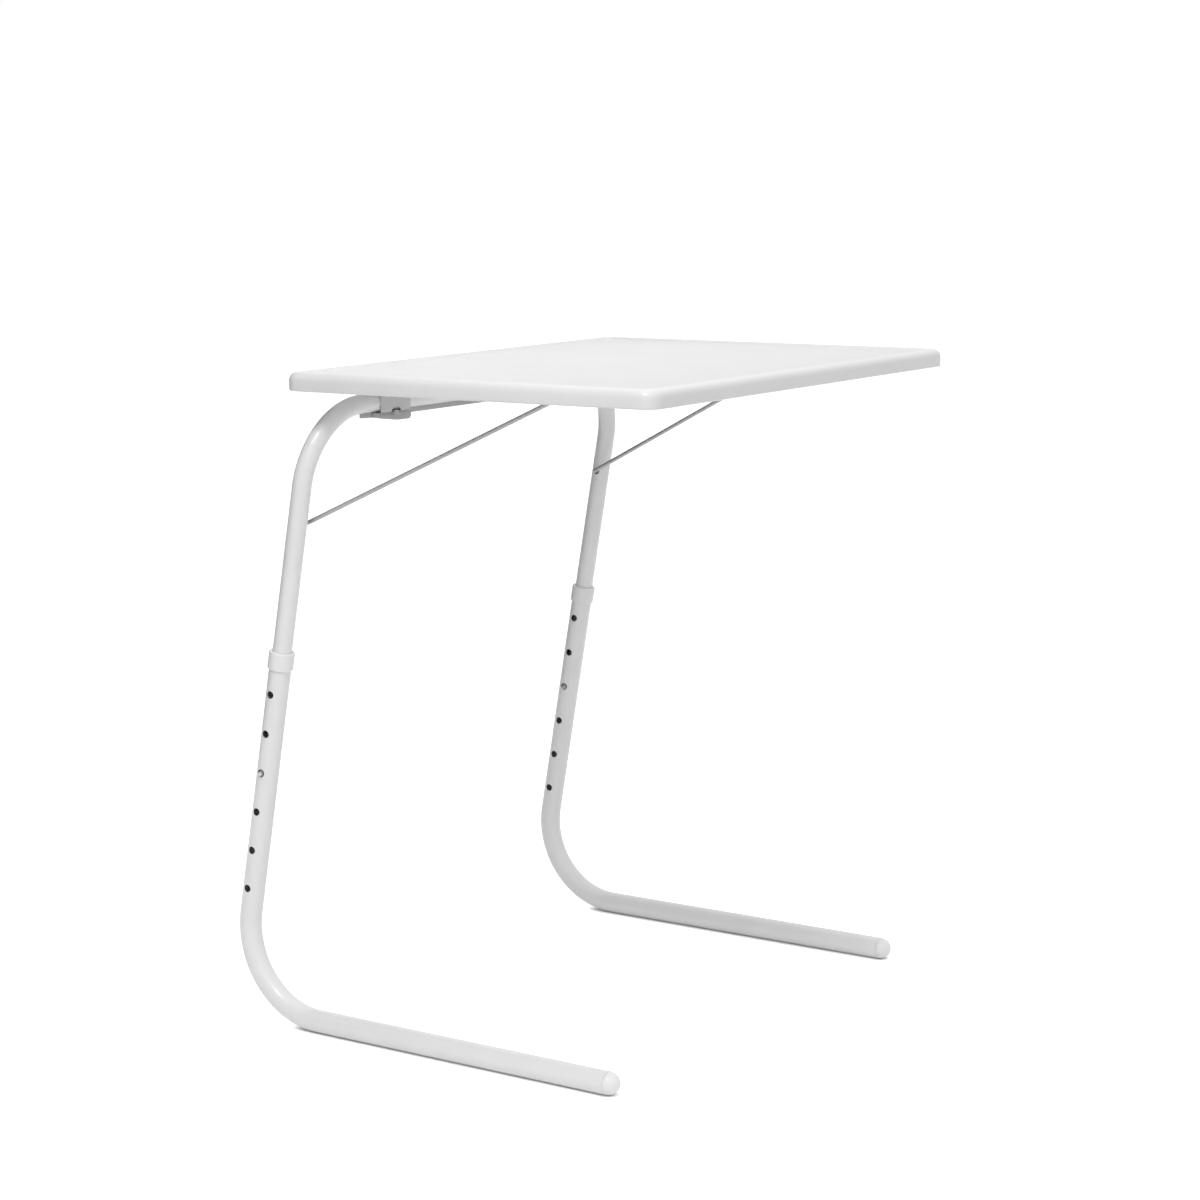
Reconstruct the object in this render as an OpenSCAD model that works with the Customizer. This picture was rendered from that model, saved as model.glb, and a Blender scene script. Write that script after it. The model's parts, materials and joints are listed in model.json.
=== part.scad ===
// Portable drawing board: a shallow moulded tray on a telescopic tube stand.
// X to the right of the user, the user sits at -Y, Z up, floor at z = 0, all sizes in millimetres.

/* [Tray] */
// Width of the tray
tray_w = 520; // [400:1:700]
// Depth of the tray, front edge to rear edge
tray_d = 400; // [300:1:550]
// Height of the tray edge
tray_h = 17; // [12:0.5:30]
// Height of the lower edge of the tray above the floor
tray_z = 602; // [450:1:750]
// Corner radius of the tray outline
tray_corner_r = 16; // [12:0.5:40]
// Rounding of the upper outer edge
tray_edge_r = 7.5; // [2:0.5:8]
// Thickness of the tray wall
tray_wall = 2.6; // [1.5:0.1:4]
// Thickness of the tray panel
panel_t = 2.4; // [2:0.1:5]
// Depth of the writing surface below the rim
dish_depth = 3; // [0.5:0.1:4]
// Width of the rim along the edge
rim_w = 8; // [6:0.5:12]

/* [Stand] */
// Overall depth, tray front to the heel of the legs
stand_d = 480; // [400:1:600]
// Forward lean of the posts in degrees
lean = 10.6; // [0:0.1:20]
// Distance of the post axes from the middle
post_x = 246; // [180:1:330]
// Outside diameter of the lower tubes
lower_od = 21; // [16:0.5:30]
// Outside diameter of the upper tube
upper_od = 18; // [13:0.5:27]
// Wall of all tubes
tube_wall = 1.2; // [0.8:0.1:2]
// Bend radius between post and foot
heel_r = 80; // [50:1:120]
// Bend radius of the upper frame
shoulder_r = 71; // [40:1:100]
// Distance of the crossbar axis from the floor, along the post
crossbar_t = 594; // [450:1:740]
// Distance of the lower end of the upper tube from the floor, along the post
upper_end_t = 230; // [200:1:260]
// Distance of the upper end of the left lower tube from the floor, along the post
left_top_t = 364; // [300:1:400]
// Distance of the upper end of the right lower tube from the floor, along the post
right_top_t = 358; // [300:1:400]
// Front end of the foot caps
foot_tip_y = -189.5; // [-260:0.5:-100]

/* [Height lock] */
// Number of height holes in each lower leg
hole_count = 6; // [3:1:8]
// Distance between height holes
hole_pitch = 38.5; // [25:0.5:50]
// Diameter of the height holes
hole_d = 7.2; // [5:0.1:9]
// Hole in use, counted from the top
hole_in_use = 3; // [1:1:6]
// Distance of the button from the floor, along the post
button_t = 248; // [200:1:300]
// How far the button stands out of the lower tube
button_out = 2; // [1:0.1:4]

/* [Brace] */
// Diameter of the brace wire
wire_d = 4; // [3:0.1:6]
// Distance of the brace pivots below the crossbar, along the post
brace_drop = 107; // [80:1:140]
// Distance of the brace arms from the middle, at the pivots
brace_arm_x = 232; // [180:0.5:300]
// Distance of the brace arms from the middle, under the tray
brace_front_x = 182; // [140:1:260]
// Distance of the first notch in front of the crossbar
first_notch = 244.5; // [200:0.5:290]
// Tilt of the board in the second notch, in degrees
second_tilt = 15; // [5:1:20]
// Tilt of the board in the third notch, in degrees
third_tilt = 30; // [21:1:35]
// Distance of the notch racks from the middle
rack_x = 140; // [80:1:165]

/* [Hinge] */
// Distance of the hinge saddles from the middle
saddle_x = 135; // [90:1:150]
// Length of the hinge saddles along the crossbar
saddle_len = 44; // [30:1:60]
// Length of the strip under the crossbar
strip_len = 350; // [250:1:350]

/* [Hidden] */
$fn = 64;
fit = 0.1;
gap = 0.3;
bend_swell = 0.04;
bend_lap = 0.3;

lower_r = lower_od / 2;
lower_bore_r = lower_r - tube_wall;
upper_r = upper_od / 2;
upper_bore_r = upper_r - tube_wall;

tray_front = -stand_d / 2;
tray_mid_y = tray_front + tray_d / 2;
panel_top = tray_h - dish_depth;
panel_under = panel_top - panel_t;
underside_z = tray_z + panel_under;
rib_t = 2;
rib_deep = 3.6;

// The heel bend touches both the line of the foot and the leaning line of the post.
heel_y = stand_d / 2 - lower_r - heel_r;
heel_z = lower_r + heel_r;
heel_t = (heel_z + heel_r * sin(lean)) / cos(lean);
post_foot_y = heel_y + heel_r * cos(lean) + heel_t * sin(lean);

crossbar_y = post_foot_y - crossbar_t * sin(lean);
crossbar_z = crossbar_t * cos(lean);
brace_t = crossbar_t - brace_drop;
brace_y = post_foot_y - brace_t * sin(lean);
brace_z = brace_t * cos(lean);

// Wire centre in the first notch, and the brace length that follows from it.
notch_w = wire_d + 2 * gap;
notch_roof = underside_z - 4.5;
wire_z = notch_roof - notch_w / 2;
wire_rise = wire_z - crossbar_z;
brace_reach = [crossbar_y - first_notch - brace_y, wire_z - brace_z];
brace_len = norm(brace_reach);
brace_angle = atan2(brace_reach.y, brace_reach.x);
brace_pin_bend = 5;
brace_front_bend = 14;
brace_pin_end = post_x - 2;
brace_hole_d = wire_d + 2.5;

// Distance in front of the crossbar of the notch in which the brace holds the given tilt.
function notch_reach(tilt) =
    let (p = crossbar_y - brace_y, q = crossbar_z - brace_z)
    let (k = p * cos(tilt) + q * sin(tilt))
    let (turned = 2 * wire_rise * (q * cos(tilt) - p * sin(tilt)))
    let (rest = p * p + q * q + wire_rise * wire_rise + turned - brace_len * brace_len)
    k + sqrt(k * k - rest);

notches = [first_notch, notch_reach(second_tilt), notch_reach(third_tilt)];
rack_w = 12;
rack_h = 12;
rack_ear = 15;
rack_ear_h = 5;
rack_front = notches[2] + 9;
rack_back = notches[0] - 9;

collar_od = 24;
collar_len = 17;
collar_lip = 2;
collar_round = 1.5;
cap_len = 11;
cap_r = lower_r - 0.3;
cap_stem = 18;
foot_tube_end = foot_tip_y + cap_len;

button_play = 0.5;
button_d = hole_d - 2 * button_play;
button_tip = lower_r + button_out;
button_dome = 1.6;

function leg_top_t(side) = side < 0 ? left_top_t : right_top_t;

// Distance of a height hole from the floor, along the post, counted from the top.
function hole_t(i) = button_t + (hole_in_use - i) * hole_pitch;

button_flange_d = 9;
button_flange_t = 1.4;
button_flange_out = 6;
button_root = button_flange_out - button_flange_t;
spring_t = 0.7;
spring_w = 8;
spring_len = 40;
plug_flange = 4;
plug_stem = 9;

// Saddle: cheeks beside the crossbar, and flanges that are screwed to a pad of the tray.
pad_h = 8;
saddle_w = 21;
cheek_drop = upper_r;
flange_w = 36.6;
saddle_flange_t = 3;
saddle_top = underside_z - pad_h - crossbar_z;
cheek_notch_r = 9.6;
cheek_notch_h = 4.3;

// Strip: a narrow bar along the crossbar, with a wedge-shaped boss and a cross yoke at each saddle.
strip_w = 7;
strip_top = upper_r - 2;
strip_low = upper_r + 4;
boss_w = 15;
boss_inner = saddle_x - 25.5;
boss_outer = saddle_x + 28.5;
boss_flat = 21;
boss_low = strip_low + 5;
boss_round = 3.5;
yoke_len = 8;
nib_len = 6;
nib_h = 0.9;

screw_d = 3;
head_d = 6;
head_h = 2;
hinge_screw_y = 15;
hinge_screw_len = saddle_flange_t + pad_h + panel_t / 2;
rack_screw_len = rack_ear_h + panel_t - 1;

white = [0.93, 0.93, 0.92];
enamel = [0.90, 0.91, 0.92];
steel = [0.70, 0.71, 0.73];

function ray(angle) = [cos(angle), sin(angle)];
function heading(path, i) = atan2(path[i + 1].y - path[i].y, path[i + 1].x - path[i].x);
function turn(path, i) = (heading(path, i) - heading(path, i - 1) + 540) % 360 - 180;
function trim_at(path, radii, i) =
    i == 0 || i == len(path) - 1 ? 0 : radii[i] * tan(abs(turn(path, i)) / 2);

// Round bar along a flat path of points, with a rounded bend at every inner point.
// With a swell the bends are a hair thicker, and the straight runs reach a little way into them.
module bent_bar(path, radii, d, swell = 0) {
    last = len(path) - 2;
    lap = swell > 0 ? bend_lap : 0;
    for (i = [0 : last]) {
        a = heading(path, i);
        from = trim_at(path, radii, i) - (i > 0 ? lap : 0);
        to = norm(path[i + 1] - path[i]) - trim_at(path, radii, i + 1) + (i < last ? lap : 0);
        translate(path[i] + ray(a) * from)
            rotate([0, 0, a])
                rotate([0, 90, 0])
                    cylinder(h = to - from, d = d);
    }
    for (i = [1 : last]) {
        a = heading(path, i - 1);
        s = turn(path, i);
        begin = path[i] - ray(a) * trim_at(path, radii, i);
        translate(begin + ray(a + sign(s) * 90) * radii[i])
            rotate([0, 0, s > 0 ? a - 90 : a + s + 90])
                rotate_extrude(angle = abs(s))
                    translate([radii[i], 0])
                        circle(d = d + swell);
    }
}

// Part of the heel bend, from the local x axis on.
module heel_arc(angle, d) {
    rotate_extrude(angle = angle)
        translate([heel_r, 0])
            circle(d = d);
}

// Round bar along a lower leg. Foot and post each carry part of the heel bend, and the two parts overlap.
module leg_bar(d, top_t) {
    translate([heel_y, heel_z]) {
        translate([0, -heel_r])
            rotate([0, -90, 0])
                cylinder(h = heel_y - foot_tube_end, d = d);
        rotate([0, 0, -90])
            heel_arc(60, d);
        rotate([0, 0, lean]) {
            mirror([0, 1, 0])
                heel_arc(70, d);
            translate([heel_r, 0])
                rotate([-90, 0, 0])
                    cylinder(h = top_t - heel_t, d = d);
        }
    }
}

// Local z runs up the leaning post, local x is the world x, local y points to the rear.
module on_post(side) {
    translate([side * post_x, post_foot_y, 0])
        rotate([lean, 0, 0])
            children();
}

// Local x is the world x, local y runs up the leaning posts.
module in_post_plane() {
    translate([0, post_foot_y, 0])
        rotate([90 + lean, 0, 0])
            children();
}

module at_crossbar() {
    translate([0, crossbar_y, crossbar_z])
        children();
}

// Cylinder along the world x, centred.
module rod_x(h, d) {
    rotate([0, 90, 0])
        cylinder(h = h, d = d, center = true);
}

// Pan-head screw pointing up, its head resting on z = 0 from below.
module screw(len) {
    translate([0, 0, -head_h])
        cylinder(h = head_h, d1 = head_d * 0.8, d2 = head_d);
    cylinder(h = len, d = screw_d);
}

// Cross-section of the tray edge: x inwards from the outer face, y up from the lower edge.
module edge_section() {
    difference() {
        union() {
            square([tray_corner_r, tray_h - tray_edge_r]);
            translate([tray_edge_r, tray_h - tray_edge_r])
                circle(r = tray_edge_r);
            translate([tray_edge_r, 0])
                square([tray_corner_r - tray_edge_r, tray_h]);
        }
        translate([tray_wall, -1])
            square([tray_corner_r, panel_under + 1]);
        polygon([[rim_w, tray_h], [rim_w + dish_depth, panel_top], [tray_corner_r + 1, panel_top],
                 [tray_corner_r + 1, tray_h + 1], [rim_w, tray_h + 1]]);
    }
}

module edge_run(len) {
    rotate([90, 0, 0])
        linear_extrude(height = len, center = true)
            edge_section();
}

module edge_corner() {
    rotate_extrude(angle = 90)
        translate([tray_corner_r, 0])
            mirror([1, 0])
                edge_section();
}

module tray_edges(inner_w, inner_d) {
    for (half = [0, 180])
        rotate([0, 0, half]) {
            translate([-tray_w / 2, 0, 0])
                edge_run(inner_d);
            translate([0, -tray_d / 2, 0])
                rotate([0, 0, 90])
                    edge_run(inner_w);
            translate([inner_w / 2, inner_d / 2, 0])
                edge_corner();
            translate([-inner_w / 2, inner_d / 2, 0])
                rotate([0, 0, 90])
                    edge_corner();
        }
}

module tray_ribs() {
    long = tray_w - 2 * tray_wall;
    short = tray_d - 2 * tray_wall;
    for (y = [-160, 0, 80])
        translate([-long / 2, y - rib_t / 2, panel_under - rib_deep])
            cube([long, rib_t, rib_deep]);
    for (x = [-200, -70, 0, 70, 200])
        translate([x - rib_t / 2, -short / 2, panel_under - rib_deep])
            cube([rib_t, short, rib_deep]);
}

// Moulded tray: panel, rim all round, shallow ribs and a pad for each hinge saddle.
module tray_top() {
    inner_w = tray_w - 2 * tray_corner_r;
    inner_d = tray_d - 2 * tray_corner_r;
    color(white)
        difference() {
            union() {
                translate([0, tray_mid_y, tray_z]) {
                    translate([-inner_w / 2, -inner_d / 2, panel_under])
                        cube([inner_w, inner_d, panel_t]);
                    tray_edges(inner_w, inner_d);
                    tray_ribs();
                }
                for (side = [-1, 1])
                    translate([side * saddle_x, crossbar_y, 0])
                        saddle_block(flange_w, underside_z - pad_h, underside_z);
            }
            hinge_screw_holes();
            rack_screw_holes();
        }
}

// Block as long as a saddle, set about the crossbar in y, from one height to another.
module saddle_block(w, from, to) {
    translate([-saddle_len / 2, -w / 2, from])
        cube([saddle_len, w, to - from]);
}

// Upper half of a hinge: cheeks beside the crossbar, each with a notch for the strip, and two flanges.
module hinge_saddle(side) {
    color(white)
        difference() {
            at_crossbar()
                translate([side * saddle_x, 0, 0])
                    difference() {
                        union() {
                            saddle_block(saddle_w, -cheek_drop, saddle_top);
                            saddle_block(flange_w, saddle_top - saddle_flange_t, saddle_top);
                        }
                        rod_x(saddle_len + 2, 2 * (upper_r + fit));
                        translate([-saddle_len, -upper_r - 2 * fit, -2 * cheek_drop])
                            cube([2 * saddle_len, 2 * upper_r + 4 * fit, 2 * cheek_drop]);
                        translate([0, 0, cheek_notch_h - cheek_notch_r - cheek_drop])
                            rotate([90, 0, 0])
                                cylinder(h = 2 * saddle_w, r = cheek_notch_r, center = true);
                    }
            hinge_screw_holes();
        }
}

// Bar that is round at both ends.
module strip_body() {
    reach = (strip_len - strip_w) / 2;
    translate([0, 0, -strip_low])
        linear_extrude(height = strip_low - strip_top) {
            translate([-reach, -strip_w / 2])
                square([2 * reach, strip_w]);
            for (x = [-reach, reach])
                translate([x, 0])
                    circle(d = strip_w);
        }
}

// Wedge under the strip at a saddle: thin at its outer end, blunt at its inner end.
module strip_boss(side) {
    translate([0, boss_w / 2, 0])
        rotate([90, 0, 0])
            linear_extrude(height = boss_w) {
                polygon([[side * boss_inner, -cheek_drop], [side * boss_outer, -cheek_drop],
                         [side * boss_outer, -strip_low],
                         [side * (boss_inner + boss_flat), -boss_low],
                         [side * (boss_inner + boss_round), -boss_low],
                         [side * boss_inner, boss_round - boss_low]]);
                translate([side * (boss_inner + boss_round), boss_round - boss_low])
                    circle(r = boss_round);
            }
}

// Strip that closes both hinges from below; the nibs of its yokes sit in the notches of the cheeks.
module hinge_strip() {
    below_cheeks = -cheek_drop - gap;
    color(white)
        at_crossbar() {
            difference() {
                union() {
                    strip_body();
                    for (side = [-1, 1]) {
                        strip_boss(side);
                        translate([side * saddle_x - yoke_len / 2, -saddle_w / 2, -strip_low])
                            cube([yoke_len, saddle_w, strip_low]);
                    }
                }
                rod_x(strip_len + 2, 2 * (upper_r + fit));
                for (side = [-1, 1])
                    translate([side * saddle_x - saddle_len / 2 - gap, -saddle_w, below_cheeks])
                        cube([saddle_len + 2 * gap, 2 * saddle_w, saddle_w]);
            }
            for (x = [-saddle_x, saddle_x], back = [0, 1])
                mirror([0, back, 0])
                    translate([x - nib_len / 2, upper_r + gap, below_cheeks - 1])
                        cube([nib_len, saddle_w / 2 - upper_r - gap, nib_h + 1 + gap]);
        }
}

// Seats of the hinge screws under the flanges of the saddles.
module each_hinge_screw() {
    for (x = [-saddle_x, saddle_x], y = [-hinge_screw_y, hinge_screw_y])
        translate([x, crossbar_y + y, crossbar_z + saddle_top - saddle_flange_t])
            children();
}

module hinge_screw_holes() {
    each_hinge_screw()
        translate([0, 0, -1])
            cylinder(h = hinge_screw_len + 1 + fit, d = screw_d + 2 * fit);
}

module hinge_screws() {
    color(steel)
        each_hinge_screw()
            screw(hinge_screw_len);
}

// Comb under the tray with three notches for the brace, and an ear with a screw at each end.
module notch_rack(side) {
    color(white)
        difference() {
            translate([side * rack_x - rack_w / 2, 0, 0]) {
                translate([0, crossbar_y - rack_front, underside_z - rack_h])
                    cube([rack_w, rack_front - rack_back, rack_h]);
                translate([0, crossbar_y - rack_front - rack_ear, underside_z - rack_ear_h])
                    cube([rack_w, rack_front - rack_back + 2 * rack_ear, rack_ear_h]);
            }
            for (reach = notches)
                translate([side * rack_x, crossbar_y - reach, wire_z]) {
                    rod_x(rack_w + 2, notch_w);
                    translate([-rack_w, -notch_w / 2, -rack_h])
                        cube([2 * rack_w, notch_w, rack_h]);
                }
            rack_screw_holes();
        }
}

module each_rack_screw() {
    for (x = [-rack_x, rack_x], reach = [rack_front + rack_ear / 2, rack_back - rack_ear / 2])
        translate([x, crossbar_y - reach, underside_z - rack_ear_h])
            children();
}

module rack_screw_holes() {
    each_rack_screw()
        translate([0, 0, -1])
            cylinder(h = rack_screw_len + 1 + fit, d = screw_d + 2 * fit);
}

module rack_screws() {
    color(steel)
        each_rack_screw()
            screw(rack_screw_len);
}

// Upside-down U of tube: two posts and the crossbar the tray turns on.
// Its button holes line up with those of the lower legs, from the top one to the one in use.
module upper_frame() {
    path = [[-post_x, upper_end_t], [-post_x, crossbar_t], [post_x, crossbar_t], [post_x, upper_end_t]];
    radii = [0, shoulder_r, shoulder_r, 0];
    color(enamel)
        difference() {
            in_post_plane()
                difference() {
                    bent_bar(path, radii, upper_od);
                    bent_bar(path, radii, 2 * upper_bore_r);
                }
            for (side = [-1, 1])
                on_post(side) {
                    for (i = [1 : hole_in_use])
                        translate([-upper_r, 0, hole_t(i)])
                            rod_x(upper_od, hole_d);
                    translate([-side * upper_r, 0, brace_t])
                        rod_x(upper_od, brace_hole_d);
                }
        }
}

// Plug in the lower end of the upper tube that guides it in the lower tube.
module guide_plug(side) {
    color(white)
        on_post(side)
            translate([0, 0, upper_end_t]) {
                translate([0, 0, -plug_flange])
                    cylinder(h = plug_flange, r = lower_bore_r - fit);
                cylinder(h = plug_stem, r = upper_bore_r - 0.05);
            }
}

// Spring-loaded pin that locks a lower leg in one of its holes; it points to the left on both legs.
module snap_button(side) {
    color(steel)
        on_post(side)
            translate([0, 0, button_t])
                rotate([0, -90, 0])
                    rotate_extrude()
                        intersection() {
                            union() {
                                translate([0, button_root])
                                    square([button_flange_d / 2, button_flange_t]);
                                translate([0, button_root])
                                    square([button_d / 2, button_tip - button_dome - button_root]);
                                translate([0, button_tip - button_dome])
                                    square([button_d / 2 - button_dome, button_dome]);
                                translate([button_d / 2 - button_dome, button_tip - button_dome])
                                    circle(r = button_dome);
                            }
                            square([button_flange_d, button_tip + 1]);
                        }
}

// Folded leaf spring inside the upper tube: one leaf behind the button, one on the opposite wall.
module button_spring(side) {
    front = button_root - fit;
    back = upper_bore_r - 1.3;
    bow_r = (front + back) / 2;
    color(steel)
        on_post(side)
            translate([0, -spring_w / 2, button_t - 4]) {
                translate([-front, 0, 0])
                    cube([spring_t, spring_w, spring_len]);
                translate([back - spring_t, 0, 0])
                    cube([spring_t, spring_w, spring_len]);
                translate([(back - front) / 2, 0, spring_len])
                    rotate([-90, 0, 0])
                        rotate([0, 0, 180])
                            rotate_extrude(angle = 180)
                                translate([bow_r - spring_t, 0])
                                    square([spring_t, spring_w]);
            }
}

// Lower leg: post, heel bend and foot in one tube, with a row of height holes on the left side.
module lower_leg(side) {
    color(enamel)
        difference() {
            translate([side * post_x, 0, 0])
                rotate([90, 0, 90])
                    difference() {
                        leg_bar(lower_od, leg_top_t(side));
                        leg_bar(2 * lower_bore_r, leg_top_t(side));
                    }
            on_post(side)
                for (i = [1 : hole_count])
                    translate([-lower_r, 0, hole_t(i)])
                        rod_x(lower_od, hole_d);
        }
}

// Collar round the upper end of a lower leg; its lip guides the upper tube.
module leg_collar(side) {
    color(white)
        on_post(side)
            translate([0, 0, leg_top_t(side) + collar_lip - collar_len])
                rotate_extrude()
                    difference() {
                        union() {
                            square([collar_od / 2, collar_len - collar_round]);
                            square([collar_od / 2 - collar_round, collar_len]);
                            translate([collar_od / 2 - collar_round, collar_len - collar_round])
                                circle(r = collar_round);
                        }
                        square([lower_r + 0.05, collar_len - collar_lip]);
                        square([upper_r + fit, collar_len + 1]);
                    }
}

// Domed plug in the open end of a foot.
module foot_cap(side) {
    color(white)
        translate([side * post_x, foot_tube_end, lower_r])
            rotate([90, 0, 0]) {
                translate([0, 0, -cap_stem])
                    cylinder(h = cap_stem, r = lower_bore_r - 0.05);
                rotate_extrude()
                    intersection() {
                        union() {
                            square([cap_r, cap_len - cap_r]);
                            translate([0, cap_len - cap_r])
                                circle(r = cap_r);
                        }
                        square([cap_r, cap_len]);
                    }
            }
}

// One bent wire: out-turned ends in the posts, two arms, and a bar that rests in the notches.
module brace_wire() {
    path = [[-brace_pin_end, 0], [-brace_arm_x, 0], [-brace_front_x, brace_len],
            [brace_front_x, brace_len], [brace_arm_x, 0], [brace_pin_end, 0]];
    radii = [0, brace_pin_bend, brace_front_bend, brace_front_bend, brace_pin_bend, 0];
    color(steel)
        translate([0, brace_y, brace_z])
            rotate([brace_angle, 0, 0])
                bent_bar(path, radii, wire_d, bend_swell);
}

tray_top();
hinge_saddle(-1);  // left_hinge_saddle
hinge_saddle(1);  // right_hinge_saddle
hinge_strip();
hinge_screws();
notch_rack(-1);  // left_notch_rack
notch_rack(1);  // right_notch_rack
rack_screws();
upper_frame();
guide_plug(-1);  // left_guide_plug
guide_plug(1);  // right_guide_plug
snap_button(-1);  // left_snap_button
snap_button(1);  // right_snap_button
button_spring(-1);  // left_button_spring
button_spring(1);  // right_button_spring
lower_leg(-1);  // left_lower_leg
lower_leg(1);  // right_lower_leg
leg_collar(-1);  // left_leg_collar
leg_collar(1);  // right_leg_collar
foot_cap(-1);  // left_foot_cap
foot_cap(1);  // right_foot_cap
brace_wire();
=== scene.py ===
"""Looks of the portable drawing board: a white moulded tray on a stand of enamelled tube."""
import json
import math

import bmesh
import bpy
from mathutils import Matrix, Quaternion, Vector


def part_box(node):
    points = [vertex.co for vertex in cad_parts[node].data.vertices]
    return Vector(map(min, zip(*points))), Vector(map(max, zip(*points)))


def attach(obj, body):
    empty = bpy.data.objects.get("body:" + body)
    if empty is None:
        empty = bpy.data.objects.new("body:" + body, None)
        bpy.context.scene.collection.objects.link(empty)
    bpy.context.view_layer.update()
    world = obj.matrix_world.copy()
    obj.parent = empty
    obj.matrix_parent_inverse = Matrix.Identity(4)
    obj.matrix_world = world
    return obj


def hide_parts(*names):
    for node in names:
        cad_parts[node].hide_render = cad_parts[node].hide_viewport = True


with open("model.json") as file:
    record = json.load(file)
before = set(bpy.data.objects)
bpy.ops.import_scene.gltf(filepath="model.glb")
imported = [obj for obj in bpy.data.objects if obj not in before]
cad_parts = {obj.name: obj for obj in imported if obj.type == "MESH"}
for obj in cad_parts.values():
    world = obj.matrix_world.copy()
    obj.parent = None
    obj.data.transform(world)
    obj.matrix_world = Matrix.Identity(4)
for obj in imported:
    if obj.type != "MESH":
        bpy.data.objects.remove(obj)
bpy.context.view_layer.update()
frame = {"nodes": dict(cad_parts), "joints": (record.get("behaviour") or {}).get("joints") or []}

MM = 0.001
ACROSS = Vector((1, 0, 0))
UP = Vector((0, 0, 1))

# Lines and points of the stand, from the frame
JOINTS = {joint["name"]: joint for joint in frame["joints"]}
CROSSBAR = Vector(JOINTS["tray_fold"]["pos_m"])
BRACE_PIVOT = Vector(JOINTS["brace_swing"]["pos_m"])
POST_UP = Vector(JOINTS["left_leg_slide"]["axis"]).normalized()
LEG_LOW, LEG_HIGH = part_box("left_lower_leg")
POST_X = -(LEG_LOW.x + LEG_HIGH.x) / 2
LOWER_R = (LEG_HIGH.x - LEG_LOW.x) / 2
UPPER_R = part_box("upper_frame")[1].x - POST_X
BUTTON_LOW, BUTTON_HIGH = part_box("left_snap_button")
BUTTON_DROP = (CROSSBAR - (BUTTON_LOW + BUTTON_HIGH) / 2).dot(POST_UP)
TO_RIGHT_LEG = ACROSS * 2 * POST_X

# Tubes and wire
TUBE_WALL = 1.2 * MM
TUBE_SIDES = 64
HEEL_R = 80 * MM
SHOULDER_R = 71 * MM
UPPER_END_DROP = 364 * MM
HOLE_R = 3.6 * MM
HOLE_PITCH = 38.5 * MM
HOLE_COUNT = 6
HOLES_ABOVE_BUTTON = 2
HOLE_DROPS = [BUTTON_DROP + (i - HOLES_ABOVE_BUTTON) * HOLE_PITCH for i in range(HOLE_COUNT)]
BRACE_HOLE_R = 3.25 * MM
BRACE_DROP = (CROSSBAR - BRACE_PIVOT).dot(POST_UP)
WIRE_R = 2 * MM
WIRE_SIDES = 24
PIN_BEND = 5 * MM
BAR_BEND = 14 * MM
ARM_X = 232 * MM
BAR_X = 182 * MM

# Brace bar in its first notch
WIRE_LOW, WIRE_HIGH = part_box("brace_wire")
PIN_END_X = WIRE_HIGH.x
BRACE_BAR = Vector((0, WIRE_LOW.y + WIRE_R, WIRE_HIGH.z - WIRE_R))

# Tray
TRAY_LOW, TRAY_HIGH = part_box("tray_top")
TRAY_CORNER = 16 * MM
TRAY_EDGE = 7.5 * MM
TRAY_FOOT = 1.6 * MM
TRAY_WALL = 2.6 * MM
PANEL = 2.4 * MM
DISH = 3 * MM
RIM = 8 * MM
DISH_STEPS = ((0.4 * MM, 0.2 * MM), (2.0 * MM, 2.4 * MM), (0.6 * MM, 0.4 * MM))
RIB = 2 * MM
RIB_DEPTH = 3.6 * MM
LONG_RIBS = (-160 * MM, 0, 80 * MM)
CROSS_RIBS = (-200 * MM, -70 * MM, 0, 70 * MM, 200 * MM)
PAD_HEIGHT = 8 * MM
UNDERSIDE_Z = TRAY_HIGH.z - DISH - PANEL


def post_point(side, drop):
    """Point on the axis of the left (-1) or right (1) post, a distance below the crossbar."""
    return CROSSBAR + ACROSS * side * POST_X - POST_UP * drop


def rest_selection():
    if bpy.context.object and bpy.context.object.mode != "OBJECT":
        bpy.ops.object.mode_set(mode="OBJECT")
    bpy.ops.object.select_all(action="DESELECT")


def hold(piece):
    """Makes the piece the only selected and active one."""
    rest_selection()
    piece.select_set(True)
    bpy.context.view_layer.objects.active = piece


def settle(name):
    """Names the piece just added and puts its place into its mesh."""
    piece = bpy.context.object
    piece.name = name
    piece.data.name = name
    bpy.ops.object.transform_apply(location=True, rotation=True, scale=True)
    return piece


def open_edit(piece):
    hold(piece)
    bpy.ops.object.mode_set(mode="EDIT")
    bpy.ops.mesh.select_mode(type="VERT")
    bpy.ops.mesh.select_all(action="SELECT")


def close_edit():
    bpy.ops.object.mode_set(mode="OBJECT")


def pick_faces(piece, test):
    """Selects the faces whose centre and normal pass the test."""
    bpy.ops.mesh.select_mode(type="FACE")
    bpy.ops.mesh.select_all(action="DESELECT")
    shape = bmesh.from_edit_mesh(piece.data)
    for face in shape.faces:
        if test(face.calc_center_median(), face.normal):
            face.select_set(True)
    bmesh.update_edit_mesh(piece.data)


def pick_edges(piece, test):
    """Selects the edges whose two ends pass the test."""
    bpy.ops.mesh.select_mode(type="EDGE")
    bpy.ops.mesh.select_all(action="DESELECT")
    shape = bmesh.from_edit_mesh(piece.data)
    for edge in shape.edges:
        if test(edge.verts[0].co, edge.verts[1].co):
            edge.select_set(True)
    bmesh.update_edit_mesh(piece.data)


def push(offset):
    bpy.ops.mesh.extrude_region_move(TRANSFORM_OT_translate={"value": offset})


def make_solid_side_out():
    bpy.ops.mesh.select_all(action="SELECT")
    bpy.ops.mesh.remove_doubles(threshold=0.002 * MM)
    bpy.ops.mesh.normals_make_consistent(inside=False)


def apply_modifier(piece, kind, **settings):
    modifier = piece.modifiers.new(kind.title(), kind)
    for key, value in settings.items():
        setattr(modifier, key, value)
    hold(piece)
    bpy.ops.object.modifier_apply(modifier=modifier.name)


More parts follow.
